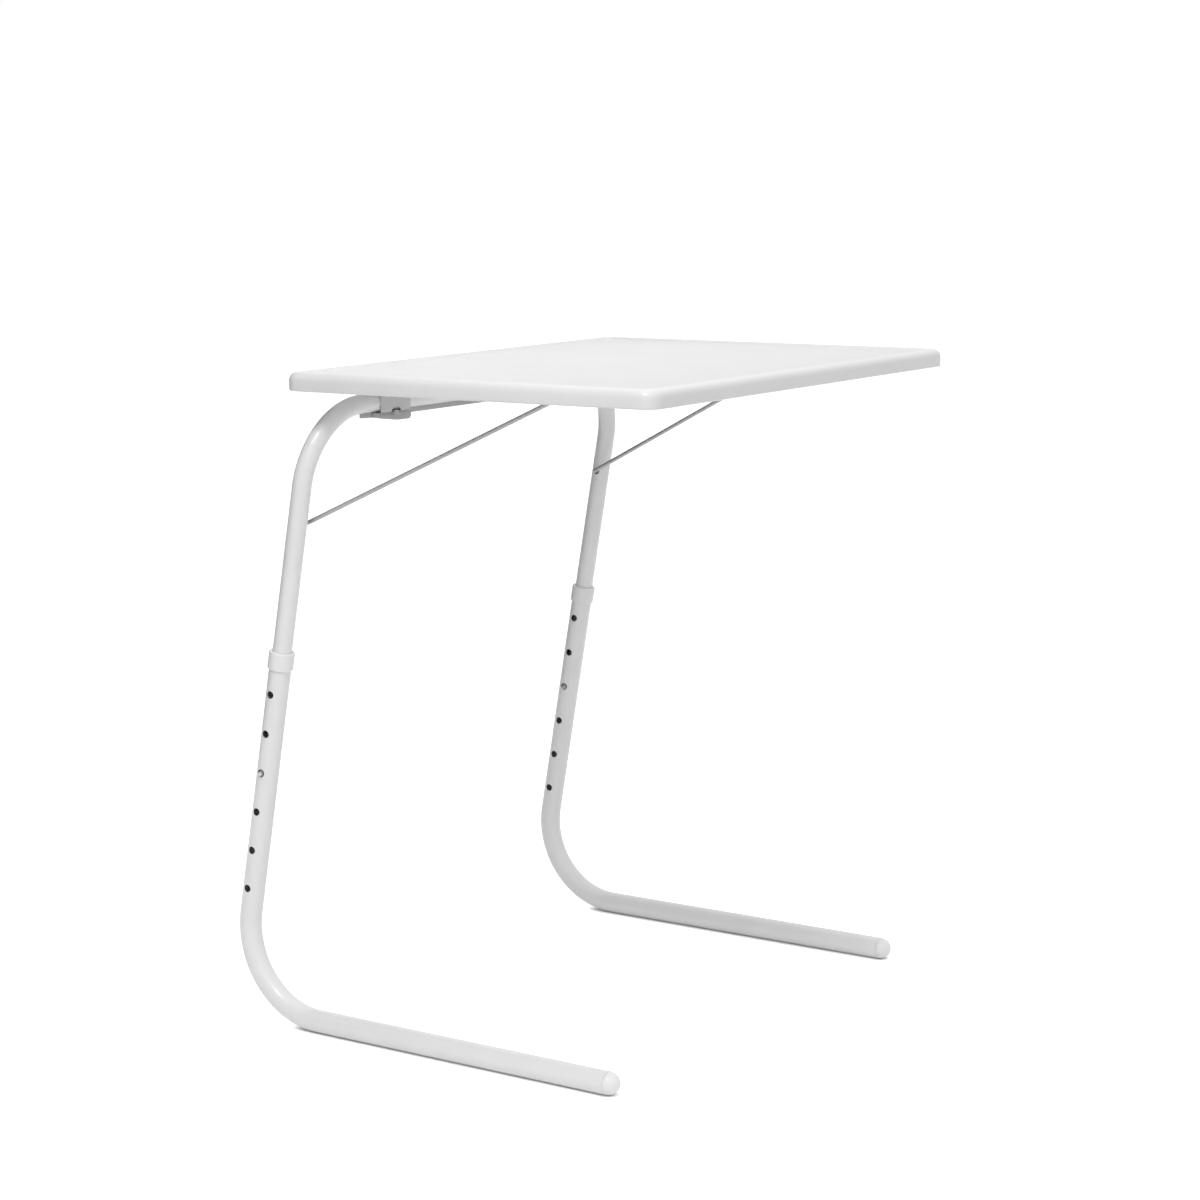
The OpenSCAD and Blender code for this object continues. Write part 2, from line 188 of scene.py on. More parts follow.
def combine(piece, other, operation):
    apply_modifier(piece, "BOOLEAN", operation=operation, object=other, solver="EXACT")
    bpy.data.objects.remove(other)


def soften(piece, width, segments=2, limit=40):
    """Rounds the sharp edges of a moulded or turned piece."""
    apply_modifier(piece, "BEVEL", width=width, segments=segments, limit_method="ANGLE",
                   angle_limit=math.radians(limit), harden_normals=False, miter_outer="MITER_ARC")


def smooth(piece, angle=35):
    hold(piece)
    bpy.ops.object.shade_smooth_by_angle(angle=math.radians(angle))


def block(name, low, high):
    rest_selection()
    low, high = Vector(low), Vector(high)
    bpy.ops.mesh.primitive_cube_add(size=1, location=(low + high) / 2, scale=high - low)
    return settle(name)


def rod(name, middle, axis, radius, length, sides=48):
    rest_selection()
    turn = Vector(axis).to_track_quat("Z", "Y").to_euler()
    bpy.ops.mesh.primitive_cylinder_add(vertices=sides, radius=radius, depth=length, location=middle,
                                        rotation=turn)
    return settle(name)


def drill(piece, middles, axis, radius, length):
    for middle in middles:
        combine(piece, rod("drill", middle, axis, radius, length), "DIFFERENCE")


def copy_to(piece, name, offset):
    """A copy with its own mesh, moved by the offset."""
    hold(piece)
    bpy.ops.object.duplicate()
    bpy.ops.transform.translate(value=offset)
    return settle(name)


def join(pieces, name):
    hold(pieces[0])
    for piece in pieces:
        piece.select_set(True)
    bpy.ops.object.join()
    return settle(name)


def stops_between(start, end, stops):
    """The stops on the straight from start to end, in order."""
    way = (end - start).normalized()
    found = []
    for stop in stops:
        along = (stop - start).dot(way)
        aside = (stop - start - way * along).length
        if aside < 0.01 * MM and 0 < along < (end - start).length:
            found.append(along)
    return [start + way * along for along in sorted(found)]


def sweep(name, corners, bends, radius, sides, stops=()):
    """A round bar grown along a route of corners, swung round a bend at each inner corner."""
    ways = [(b - a).normalized() for a, b in zip(corners, corners[1:])]
    rest_selection()
    bpy.ops.mesh.primitive_circle_add(vertices=sides, radius=radius, fill_type="NGON", location=corners[0],
                                      rotation=ways[0].to_track_quat("Z", "Y").to_euler())
    bar = settle(name)
    open_edit(bar)
    here = corners[0]
    for i, way in enumerate(ways):
        last = i == len(ways) - 1
        if last:
            ahead = corners[-1]
        else:
            angle = way.angle(ways[i + 1])
            ahead = corners[i + 1] - way * bends[i] * math.tan(angle / 2)
        for stop in [*stops_between(here, ahead, stops), ahead]:
            push(stop - here)
            here = stop
        if not last:
            axis = way.cross(ways[i + 1]).normalized()
            centre = ahead + axis.cross(way) * bends[i]
            steps = max(6, round(math.degrees(angle) / 3.5))
            bpy.ops.mesh.spin(steps=steps, angle=-angle, center=centre, axis=axis)
            here = centre + Quaternion(axis, angle) @ (ahead - centre)
    make_solid_side_out()
    close_edit()
    return bar


def hollow_out(bar, ends, wall):
    """Opens both ends of a swept bar and gives it a tube wall, with the inside in the second finish."""
    open_edit(bar)
    pick_faces(bar, lambda centre, normal: min((centre - end).length for end in ends) < MM)
    bpy.ops.mesh.delete(type="ONLY_FACE")
    close_edit()
    apply_modifier(bar, "SOLIDIFY", thickness=wall, offset=-1, use_rim=True, material_offset=1)


def lathe(name, profile, place, steps=64):
    """A closed profile of (radius, height) points turned about the z axis and set at its place."""
    rest_selection()
    bpy.ops.mesh.primitive_plane_add(size=MM)
    piece = settle(name)
    open_edit(piece)
    bpy.ops.mesh.merge(type="CENTER")
    bpy.ops.mesh.select_all(action="SELECT")
    bpy.ops.transform.translate(value=(profile[0][0], 0, profile[0][1]))
    for (r0, z0), (r1, z1) in zip(profile, profile[1:]):
        push((r1 - r0, 0, z1 - z0))
    bpy.ops.mesh.select_all(action="SELECT")
    bpy.ops.mesh.spin(steps=steps, angle=math.tau, center=(0, 0, 0), axis=UP)
    make_solid_side_out()
    close_edit()
    piece.matrix_world = place
    hold(piece)
    bpy.ops.object.transform_apply(location=True, rotation=True, scale=True)
    return piece


def arc(centre, radius, start, end, steps=6):
    """Profile points along an arc, angles in degrees from the radius axis."""
    points = []
    for i in range(steps + 1):
        angle = math.radians(start + (end - start) * i / steps)
        points.append((centre[0] + radius * math.cos(angle), centre[1] + radius * math.sin(angle)))
    return points


def facing(axis, origin):
    """Placement whose z axis looks along the given axis."""
    return Matrix.Translation(origin) @ axis.to_track_quat("Z", "Y").to_matrix().to_4x4()


# Finishes

def new_finish(name, **sockets):
    finish = bpy.data.materials.new(name)
    finish.use_nodes = True
    skin = finish.node_tree.nodes["Principled BSDF"]
    for socket, value in sockets.items():
        skin.inputs[socket.replace("_", " ").title()].default_value = value
    return finish, skin


def add_node(finish, kind, **sockets):
    node = finish.node_tree.nodes.new("ShaderNode" + kind)
    for socket, value in sockets.items():
        node.inputs[socket.replace("_", " ").title()].default_value = value
    return node


def wire(finish, source, output, target, socket):
    finish.node_tree.links.new(source.outputs[output], target.inputs[socket])


def place_pattern(finish, stretch=(1, 1, 1)):
    """Object coordinates, stretched along the piece where the pattern has a grain."""
    coordinates = add_node(finish, "TexCoord")
    mapping = add_node(finish, "Mapping", scale=stretch)
    wire(finish, coordinates, "Object", mapping, "Vector")
    return mapping


def speckle(finish, pattern, scale, detail=2.0, roughness=0.5):
    noise = add_node(finish, "TexNoise", scale=scale, detail=detail, roughness=roughness)
    wire(finish, pattern, "Vector", noise, "Vector")
    return noise


def tint(finish, skin, noise, dark, light, spread=(0.3, 0.7)):
    """Lets the colour drift between two tones."""
    ramp = add_node(finish, "ValToRGB")
    for element, position, colour in zip(ramp.color_ramp.elements, spread, (dark, light)):
        element.position = position
        element.color = (*colour, 1)
    wire(finish, noise, "Fac", ramp, "Fac")
    wire(finish, ramp, "Color", skin, "Base Color")


def vary_gloss(finish, skin, noise, low, high):
    span = add_node(finish, "MapRange")
    span.inputs["To Min"].default_value = low
    span.inputs["To Max"].default_value = high
    wire(finish, noise, "Fac", span, "Value")
    wire(finish, span, "Result", skin, "Roughness")


def emboss(finish, skin, noise, strength, depth):
    bump = add_node(finish, "Bump", strength=strength, distance=depth)
    wire(finish, noise, "Fac", bump, "Height")
    wire(finish, bump, "Normal", skin, "Normal")


def moulded_plastic(name, tone, warmth=0.995, low=0.38, high=0.5, grain=1500, relief=0.16):
    """White moulded plastic: fine spark-eroded grain, slight drift in tone and gloss."""
    finish, skin = new_finish(name)
    pattern = place_pattern(finish)
    light = (tone, tone, tone * warmth)
    dark = tuple(part * 0.965 for part in light)
    tint(finish, skin, speckle(finish, pattern, 14, 3.0), dark, light)
    vary_gloss(finish, skin, speckle(finish, pattern, 55, 4.0), low, high)
    emboss(finish, skin, speckle(finish, pattern, grain, 2.0), relief, 0.08 * MM)
    return finish


def powder_coat(name, tone, blue=1.0, low=0.28, high=0.4):
    """White powder coat on steel: orange peel, and a tone that drifts along the tube."""
    finish, skin = new_finish(name)
    pattern = place_pattern(finish)
    light = (tone, tone, tone * blue)
    dark = tuple(part * 0.96 for part in light)
    tint(finish, skin, speckle(finish, pattern, 22, 3.0), dark, light)
    vary_gloss(finish, skin, speckle(finish, pattern, 120, 4.0), low, high)
    emboss(finish, skin, speckle(finish, pattern, 520, 1.5), 0.22, 0.12 * MM)
    return finish


def plated_steel(name, tone, low=0.22, high=0.42, metal=1.0):
    """Zinc-plated steel with fine turning marks; less metal where the plating is dull."""
    finish, skin = new_finish(name, metallic=metal)
    pattern = place_pattern(finish, stretch=(1, 1, 12))
    light = (tone, tone, tone * 1.01)
    dark = tuple(part * 0.72 for part in light)
    tint(finish, skin, speckle(finish, pattern, 700, 3.0), dark, light)
    vary_gloss(finish, skin, speckle(finish, pattern, 1200, 3.0), low, high)
    emboss(finish, skin, speckle(finish, pattern, 2400, 2.0), 0.2, 0.03 * MM)
    return finish


def painted_shade_inside(name):
    """Near-black, dull inner wall of a tube: painted shade in the hollow of the tube and on the walls of
    its holes.
    """
    finish, skin = new_finish(name, metallic=0.4)
    pattern = place_pattern(finish)
    tint(finish, skin, speckle(finish, pattern, 160, 4.0), (0.008, 0.008, 0.009), (0.022, 0.021, 0.02))
    vary_gloss(finish, skin, speckle(finish, pattern, 300, 3.0), 0.6, 0.85)
    return finish


TRAY_FINISH = moulded_plastic("tray_plastic", 0.81, low=0.28, high=0.38)
# Saddles, racks and strip are white plastic like the tray, given darker tones, the strip darkest: painted
# shade for where they sit under the tray.
HINGE_SHADE_FINISH = moulded_plastic("hinge_plastic", 0.58, grain=2200, relief=0.1)
STRIP_SHADE_FINISH = moulded_plastic("strip_plastic", 0.45, grain=2200, relief=0.1)
FITTING_FINISH = moulded_plastic("fitting_plastic", 0.85, low=0.3, high=0.42, grain=2600, relief=0.08)
TUBE_FINISH = powder_coat("tube_enamel", 0.83, blue=1.01, low=0.2, high=0.3)
WIRE_FINISH = plated_steel("wire_steel", 0.47, low=0.42, high=0.55, metal=0.45)
BUTTON_FINISH = plated_steel("button_steel", 0.28)
# Lighter steel for the tip of the left button pin: a painted glint.
BUTTON_GLINT_FINISH = plated_steel("button_steel_glint", 0.6)
SCREW_FINISH = plated_steel("screw_steel", 0.6)
INSIDE_SHADE_FINISH = painted_shade_inside("tube_inside_shade")


def dress(piece, finishes, body, node):
    """Gives a finished piece its finishes and the body it rides on, and hides the part that it stands for.
    """
    piece.data.materials.clear()
    for finish in finishes:
        piece.data.materials.append(finish)
    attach(piece, body)
    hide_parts(node)


# Tray

def model_tray():
    """Shallow tray: rounded corners and rim, dished top, ribbed underside with hinge pads."""
    tray = block("tray_shell", TRAY_LOW, TRAY_HIGH)
    low_z, high_z = TRAY_LOW.z, TRAY_HIGH.z
    near = 0.01 * MM
    open_edit(tray)
    pick_edges(tray, lambda a, b: abs(a.z - b.z) > near)
    bpy.ops.mesh.bevel(offset=TRAY_CORNER, segments=14, affect="EDGES")
    pick_edges(tray, lambda a, b: min(a.z, b.z) > high_z - near)
    bpy.ops.mesh.bevel(offset=TRAY_EDGE, segments=10, affect="EDGES")
    pick_edges(tray, lambda a, b: max(a.z, b.z) < low_z + near)
    bpy.ops.mesh.bevel(offset=TRAY_FOOT, segments=4, affect="EDGES")
    pick_faces(tray, lambda centre, normal: normal.z > 0.999 and centre.z > high_z - near)
    bpy.ops.mesh.inset(thickness=RIM - TRAY_EDGE)
    for inwards, down in DISH_STEPS:
        bpy.ops.mesh.inset(thickness=inwards, depth=-down)
    pick_faces(tray, lambda centre, normal: normal.z < -0.999 and centre.z < low_z + near)
    bpy.ops.mesh.inset(thickness=TRAY_WALL - TRAY_FOOT)
    push((0, 0, UNDERSIDE_Z - low_z))
    close_edit()
    for y in LONG_RIBS:
        add_rib(tray, ACROSS, y)
    for x in CROSS_RIBS:
        add_rib(tray, Vector((0, 1, 0)), x)
    for node in ("left_hinge_saddle", "right_hinge_saddle"):
        saddle_low, saddle_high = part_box(node)
        pad_low = Vector((saddle_low.x, saddle_low.y, UNDERSIDE_Z - PAD_HEIGHT))
        pad_high = Vector((saddle_high.x, saddle_high.y, UNDERSIDE_Z + PANEL / 2))
        combine(tray, block("pad", pad_low, pad_high), "UNION")
    smooth(tray, 40)
    dress(tray, [TRAY_FINISH], "tray", "tray_top")


def add_rib(tray, along, place):
    """Joins one rib to the underside, along the tray's width or depth."""
    middle = (TRAY_LOW + TRAY_HIGH) / 2
    reach = (TRAY_HIGH - TRAY_LOW) / 2 - Vector((1, 1, 1)) * TRAY_WALL / 2
    aside = Vector((along.y, along.x, 0))
    centre = Vector((middle.x, middle.y, 0)) + aside * place
    span = Vector((along.x * reach.x, along.y * reach.y, 0))
    low = centre - span - aside * RIB / 2 + UP * (UNDERSIDE_Z - RIB_DEPTH)
    high = centre + span + aside * RIB / 2 + UP * (UNDERSIDE_Z + PANEL / 2)
    combine(tray, block("rib", low, high), "UNION")


# Hinge under the tray

SADDLE_W = 21 * MM
SADDLE_FLANGE = 3 * MM
CHEEK_DROP = UPPER_R
CHEEK_NOTCH_R = 9.6 * MM
CHEEK_NOTCH_H = 4.3 * MM
STRIP_W = 7 * MM
STRIP_TOP = UPPER_R - 2 * MM
STRIP_LOW = UPPER_R + 4 * MM
BOSS_W = 15 * MM
BOSS_INNER = -25.5 * MM
BOSS_OUTER = 28.5 * MM
BOSS_FLAT = 21 * MM
BOSS_ROUND = 3.5 * MM
BOSS_GROOVE = 14 * MM
YOKE_LEN = 8 * MM
NIB_LEN = 6 * MM
NIB_H = 0.9 * MM
PART_GAP = 0.3 * MM
BELOW_CHEEKS = -CHEEK_DROP - PART_GAP
BORE_PLAY = 0.1 * MM
SCREW_R = 1.5 * MM
HEAD_R = 3 * MM
HEAD_H = 2 * MM
HINGE_SCREW_Y = 15 * MM
SADDLES = ("left_hinge_saddle", "right_hinge_saddle")


def saddle_middle(node):
    """Point of the crossbar's axis in the middle of a saddle."""
    low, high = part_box(node)
    return Vector(((low.x + high.x) / 2, CROSSBAR.y, CROSSBAR.z))


def block_about(name, middle, size, bottom, top):
    """Block centred on a point of the crossbar's axis, between two heights above that axis."""
    half = Vector((size[0] / 2, size[1] / 2, 0))
    return block(name, middle - half + UP * bottom, middle + half + UP * top)


def bore_crossbar(piece, length):
    combine(piece, rod("bore", CROSSBAR, ACROSS, UPPER_R + BORE_PLAY, length, 96), "DIFFERENCE")


def model_saddles():
    """Two cheeks beside the crossbar under a plate with screw flanges; a notch in each cheek."""
    low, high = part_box("left_hinge_saddle")
    middle = saddle_middle("left_hinge_saddle")
    length = high.x - low.x
    top = high.z - CROSSBAR.z
    saddle = block_about("left_saddle", middle, (length, SADDLE_W), -CHEEK_DROP, top)
    open_edit(saddle)
    pick_edges(saddle, lambda a, b: abs(a.z - b.z) > MM)
    bpy.ops.mesh.bevel(offset=1.5 * MM, segments=4, affect="EDGES")
    close_edit()
    flange = block_about("flange", middle, (length, high.y - low.y), top - SADDLE_FLANGE, top)
    open_edit(flange)
    pick_edges(flange, lambda a, b: abs(a.z - b.z) > MM)
    bpy.ops.mesh.bevel(offset=4 * MM, segments=6, affect="EDGES")
    close_edit()
    combine(saddle, flange, "UNION")
    bore_crossbar(saddle, 2 * POST_X)
    slot_w = 2 * (UPPER_R + 2 * BORE_PLAY)
    combine(saddle, block_about("slot", middle, (2 * length, slot_w), -2 * CHEEK_DROP, 0), "DIFFERENCE")
    notch_middle = middle - UP * (CHEEK_DROP + CHEEK_NOTCH_R - CHEEK_NOTCH_H)
    notch = rod("notch", notch_middle, Vector((0, 1, 0)), CHEEK_NOTCH_R, 2 * SADDLE_W)
    combine(saddle, notch, "DIFFERENCE")
    soften(saddle, 0.4 * MM, 2)
    smooth(saddle)
    twin = copy_to(saddle, "right_saddle", saddle_middle("right_hinge_saddle") - middle)
    for piece, node in zip((saddle, twin), SADDLES):
        dress(piece, [HINGE_SHADE_FINISH], "tray", node)


def strip_bar(low, high):
    """Body of the strip: a narrow bar, round at both ends."""
    near = 0.01 * MM
    half_w = Vector((0, STRIP_W / 2, 0))
    bar = block("crossbar_strip", Vector((low.x, CROSSBAR.y, CROSSBAR.z - STRIP_LOW)) - half_w,
                Vector((high.x, CROSSBAR.y, CROSSBAR.z - STRIP_TOP)) + half_w)
    open_edit(bar)
    pick_edges(bar, lambda a, b: abs(a.z - b.z) > near)
    bpy.ops.mesh.bevel(offset=STRIP_W / 2 - near, segments=12, affect="EDGES")
    close_edit()
    return bar


def strip_boss(middle, outwards, lowest):
    """Wedge under the strip: thin at its outer end, blunt and rounded at its inner end, grooved across."""
    inner_x = middle.x + outwards * BOSS_INNER
    outer_x = middle.x + outwards * BOSS_OUTER
    flat_x = inner_x + outwards * BOSS_FLAT
    near = 0.01 * MM
    half_w = Vector((0, BOSS_W / 2, 0))
    boss = block("boss", Vector((min(inner_x, outer_x), CROSSBAR.y, lowest)) - half_w,
                 Vector((max(inner_x, outer_x), CROSSBAR.y, CROSSBAR.z + BELOW_CHEEKS)) + half_w)
    open_edit(boss)
    bpy.ops.mesh.bisect(plane_co=(flat_x, 0, 0), plane_no=(1, 0, 0))
    pick_edges(boss, lambda a, b: max(a.z, b.z) < lowest + near
               and max(abs(a.x - outer_x), abs(b.x - outer_x)) < near)
    bpy.ops.transform.translate(value=(0, 0, CROSSBAR.z - STRIP_LOW - lowest))
    pick_edges(boss, lambda a, b: max(a.z, b.z) < lowest + near
               and max(abs(a.x - flat_x), abs(b.x - flat_x)) < near)
    bpy.ops.mesh.bevel(offset=6 * MM, segments=6, affect="EDGES")
    pick_edges(boss, lambda a, b: max(a.z, b.z) < lowest + near
               and max(abs(a.x - inner_x), abs(b.x - inner_x)) < near)
    bpy.ops.mesh.bevel(offset=BOSS_ROUND, segments=8, affect="EDGES")
    close_edit()
    groove = Vector((inner_x + outwards * BOSS_GROOVE, CROSSBAR.y, lowest - 0.4 * MM))
    combine(boss, rod("groove", groove, Vector((0, 1, 0)), 1.3 * MM, 2 * BOSS_W), "DIFFERENCE")
    soften(boss, 1.2 * MM, 3, 50)
    return boss


def model_strip():
    """Strip under the crossbar that closes both hinges, with a wedge and a cross yoke at each."""
    low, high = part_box("hinge_strip")
    strip = strip_bar(low, high)
    for node in SADDLES:
        middle = saddle_middle(node)
        yoke = block_about("yoke", middle, (YOKE_LEN, SADDLE_W), -STRIP_LOW, -STRIP_TOP)
        combine(strip, yoke, "UNION")
    bore_crossbar(strip, 2 * POST_X)
    for node in SADDLES:
        middle = saddle_middle(node)
        saddle_low, saddle_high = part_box(node)
        room = (saddle_high.x - saddle_low.x + 2 * PART_GAP, 2 * SADDLE_W)
        combine(strip, block_about("room", middle, room, BELOW_CHEEKS, SADDLE_W), "DIFFERENCE")
        for side in (-1, 1):
            aside = side * (SADDLE_W / 4 + (UPPER_R + PART_GAP) / 2)
            nib_w = SADDLE_W / 2 - UPPER_R - PART_GAP
            nib = block_about("nib", middle + Vector((0, aside, 0)), (NIB_LEN, nib_w), BELOW_CHEEKS - MM,
                              BELOW_CHEEKS + NIB_H + PART_GAP)
            combine(strip, nib, "UNION")
    soften(strip, 0.5 * MM, 2)
    for outwards, node in zip((-1, 1), SADDLES):
        combine(strip, strip_boss(saddle_middle(node), outwards, low.z), "UNION")
    smooth(strip)
    dress(strip, [STRIP_SHADE_FINISH], "tray", "hinge_strip")


def hinge_screw_seats():
    """Where the heads of the hinge screws bear on the flanges of the saddles."""
    seats = []
    for node in SADDLES:
        under_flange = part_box(node)[1].z - CROSSBAR.z - SADDLE_FLANGE
        for aside in (-HINGE_SCREW_Y, HINGE_SCREW_Y):
            seats.append(saddle_middle(node) + Vector((0, aside, under_flange)))
    return seats


def model_screws(name, seats, length, node):
    """Pan-head screws with a cross recess, pointing up."""
    dome = arc((HEAD_R * 0.55, -HEAD_H * 0.45), HEAD_R * 0.45, 0, -90, 6)
    profile = [(0, length), (SCREW_R * 0.4, length), (SCREW_R, length - SCREW_R), (SCREW_R, 0), (HEAD_R, 0)]
    profile += dome
    profile += [(0, dome[-1][1])]
    screw = lathe("screw", profile, Matrix.Translation(seats[0]), 40)
    for turned in (Vector((1, 0.22, 1)), Vector((0.22, 1, 1))):
        half = Vector((turned.x * HEAD_R * 0.6, turned.y * HEAD_R * 0.6, HEAD_H * 0.5))
        middle = seats[0] - UP * HEAD_H
        combine(screw, block("recess", middle - half, middle + half), "DIFFERENCE")
    smooth(screw)
    screws = [screw]
    for seat in seats[1:]:
        screws.append(copy_to(screw, "screw", seat - seats[0]))
    group = join(screws, name)
    dress(group, [SCREW_FINISH], "tray", node)


# Notch racks

NOTCH_PLAY = 0.3 * MM
RACK_EAR = 15 * MM
RACK_EAR_H = 5 * MM
NOTCH_TILTS = (0, 15, 30)


def notch_reach(tilt):
    """How far in front of the crossbar the notch lies in which the brace holds the given tilt."""
    arm = (BRACE_BAR - BRACE_PIVOT).length
    rise = BRACE_BAR.z - CROSSBAR.z
    p = CROSSBAR.y - BRACE_PIVOT.y
    q = CROSSBAR.z - BRACE_PIVOT.z
    cos, sin = math.cos(math.radians(tilt)), math.sin(math.radians(tilt))
    k = p * cos + q * sin
    rest = p * p + q * q + rise * rise + 2 * rise * (q * cos - p * sin) - arm * arm
    return k + math.sqrt(k * k - rest)


def model_racks():
    """Combs under the tray with three notches for the brace bar and an ear at each end."""
    low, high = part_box("left_notch_rack")
    comb_low = Vector((low.x, low.y + RACK_EAR, low.z))
    comb_high = Vector((high.x, high.y - RACK_EAR, high.z))
    rack = block("left_rack", comb_low, comb_high)
    ears = block("ears", Vector((low.x, low.y, high.z - RACK_EAR_H)), high)
    combine(rack, ears, "UNION")
    middle_x = (low.x + high.x) / 2
    notch_r = WIRE_R + NOTCH_PLAY
    for tilt in NOTCH_TILTS:
        seat = Vector((middle_x, CROSSBAR.y - notch_reach(tilt), BRACE_BAR.z))
        throat = Vector((high.x - low.x, notch_r, 0))
        combine(rack, rod("notch", seat, ACROSS, notch_r, 2 * throat.x), "DIFFERENCE")
        combine(rack, block("throat", seat - throat - UP * (seat.z - low.z + notch_r), seat + throat),
                "DIFFERENCE")
    soften(rack, 0.5 * MM, 2)
    smooth(rack)
    twin = copy_to(rack, "right_rack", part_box("right_notch_rack")[0] - low)
    dress(rack, [HINGE_SHADE_FINISH], "tray", "left_notch_rack")
    dress(twin, [HINGE_SHADE_FINISH], "tray", "right_notch_rack")


def rack_screw_seats():
    seats = []
    for node in ("left_notch_rack", "right_notch_rack"):
        low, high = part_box(node)
        for y in (low.y + RACK_EAR / 2, high.y - RACK_EAR / 2):
            seats.append(Vector(((low.x + high.x) / 2, y, high.z - RACK_EAR_H)))
    return seats


# Tubes of the stand

COLLAR_LEN = 17 * MM
COLLAR_LIP = 2 * MM


def collar_base(side):
    """Point on the post's axis at the lower end of the collar of the left or right leg."""
    low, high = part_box(side + "_leg_collar")
    return (low + high) / 2 - POST_UP * COLLAR_LEN / 2


def hole_stops(side, drops):
    """Rings a little above and below each hole, so that the cut stays local."""
    reach = 2 * HOLE_R
    return [post_point(side, drop + shift) for drop in drops for shift in (-reach, reach)]


def repaint(piece, wanted):
    """Gives the faces that are wanted the second finish of the piece."""
    open_edit(piece)
    pick_faces(piece, wanted)
    piece.active_material_index = 1
    bpy.ops.object.material_slot_assign()
    close_edit()


def shade_hole_walls(tube, middles, radius):
    """Gives the walls of the drilled holes the tube's near-black inside finish, painted shade in the holes.
    """
    def in_a_hole(centre, normal):
        if abs(normal.x) > 0.5:
            return False
        return any((centre - middle).cross(ACROSS).length < radius * 1.01 for middle in middles)

    repaint(tube, in_a_hole)


def model_upper_frame():
    """Upside-down U of tube with button holes and the two holes for the brace."""
    corners = [post_point(-1, UPPER_END_DROP), post_point(-1, 0), post_point(1, 0),
               post_point(1, UPPER_END_DROP)]
    button_drops = HOLE_DROPS[:HOLES_ABOVE_BUTTON + 1]
    stops = [stop for side in (-1, 1) for stop in hole_stops(side, [*button_drops, BRACE_DROP])]
    tube = sweep("upper_tube", corners, [SHOULDER_R, SHOULDER_R], UPPER_R, TUBE_SIDES, stops)
    hollow_out(tube, [corners[0], corners[-1]], TUBE_WALL)
    button_holes = []
    brace_holes = []
    for side in (-1, 1):
        button_holes += [post_point(side, drop) - ACROSS * UPPER_R for drop in button_drops]
        brace_holes.append(post_point(side, BRACE_DROP) - ACROSS * side * UPPER_R)
    drill(tube, button_holes, ACROSS, HOLE_R, UPPER_R)
    drill(tube, brace_holes, ACROSS, BRACE_HOLE_R, UPPER_R)
    smooth(tube)
    dress(tube, [TUBE_FINISH, INSIDE_SHADE_FINISH], "frame", "upper_frame")
    shade_hole_walls(tube, button_holes, HOLE_R)
    shade_hole_walls(tube, brace_holes, BRACE_HOLE_R)


def model_lower_legs():
    """Post, heel bend and foot in one tube, with the row of height holes; the left tube is longer."""
    for side, name in ((-1, "left"), (1, "right")):
        top = collar_base(name) + POST_UP * (COLLAR_LEN - COLLAR_LIP)
        heel = post_point(side, (CROSSBAR.z - LOWER_R) / POST_UP.z)
        toe = Vector((side * POST_X, LEG_LOW.y, LOWER_R))
        stops = hole_stops(side, HOLE_DROPS)
        leg = sweep(name + "_leg_tube", [top, heel, toe], [HEEL_R], LOWER_R, TUBE_SIDES, stops)
        hollow_out(leg, [top, toe], TUBE_WALL)
        holes = [post_point(side, drop) - ACROSS * LOWER_R for drop in HOLE_DROPS]
        drill(leg, holes, ACROSS, HOLE_R, LOWER_R)
        smooth(leg)
        dress(leg, [TUBE_FINISH, INSIDE_SHADE_FINISH], name + "_leg", name + "_lower_leg")
        shade_hole_walls(leg, holes, HOLE_R)


# Fittings of the stand

COLLAR_R = 12 * MM
COLLAR_ROUND = 1.4 * MM
CAP_STEM = 18 * MM
CAP_LEN = 11 * MM
CAP_R = LOWER_R - 0.3 * MM
CAP_CREASE = 0.6 * MM
BUTTON_R = 3.1 * MM
BUTTON_OUT = 2 * MM
BUTTON_DOME = 1.6 * MM
FLANGE_R = 4.5 * MM
FLANGE_T = 1.4 * MM
FLANGE_OUT = 6 * MM


def model_collars():
    """Sleeve round the top of a lower leg, with a rolled upper edge and a chamfered lower one."""
    bore = LOWER_R + 0.05 * MM
    mouth = UPPER_R + 0.1 * MM
    foot = 0.5 * MM
    lip_z = COLLAR_LEN - COLLAR_LIP
    rolled = arc((COLLAR_R - COLLAR_ROUND, COLLAR_LEN - COLLAR_ROUND), COLLAR_ROUND, 0, 90, 8)
    throat = arc((mouth + foot, COLLAR_LEN - foot), foot, 90, 180, 4)
    profile = [(bore, foot), (bore + foot, 0), (COLLAR_R - foot, 0), (COLLAR_R, foot), *rolled, *throat,
               (mouth, lip_z), (bore, lip_z), (bore, foot)]
    base = collar_base("left")
    collar = lathe("left_collar", profile, facing(POST_UP, base), 80)
    smooth(collar)
    twin = copy_to(collar, "right_collar", collar_base("right") - base)
    for piece, side in ((collar, "left"), (twin, "right")):
        dress(piece, [FITTING_FINISH], side + "_leg", side + "_leg_collar")


def model_foot_caps():
    """Domed plug in the open end of a foot, with a crease where it meets the tube."""
    stem_r = LOWER_R - TUBE_WALL - 0.05 * MM
    dome = arc((0, CAP_LEN - CAP_R), CAP_R, 0, 90, 18)
    crease = arc((CAP_R - CAP_CREASE, CAP_CREASE), CAP_CREASE, -90, 0, 4)
    profile = [(0, -CAP_STEM), (stem_r - MM, -CAP_STEM), (stem_r, MM - CAP_STEM), (stem_r, 0),
               *crease, *dome]
    cap = lathe("left_cap", profile, facing(Vector((0, -1, 0)), Vector((-POST_X, LEG_LOW.y, LOWER_R))), 72)
    smooth(cap)
    twin = copy_to(cap, "right_cap", TO_RIGHT_LEG)
    for piece, side in ((cap, "left"), (twin, "right")):
        dress(piece, [FITTING_FINISH], side + "_leg", side + "_foot_cap")


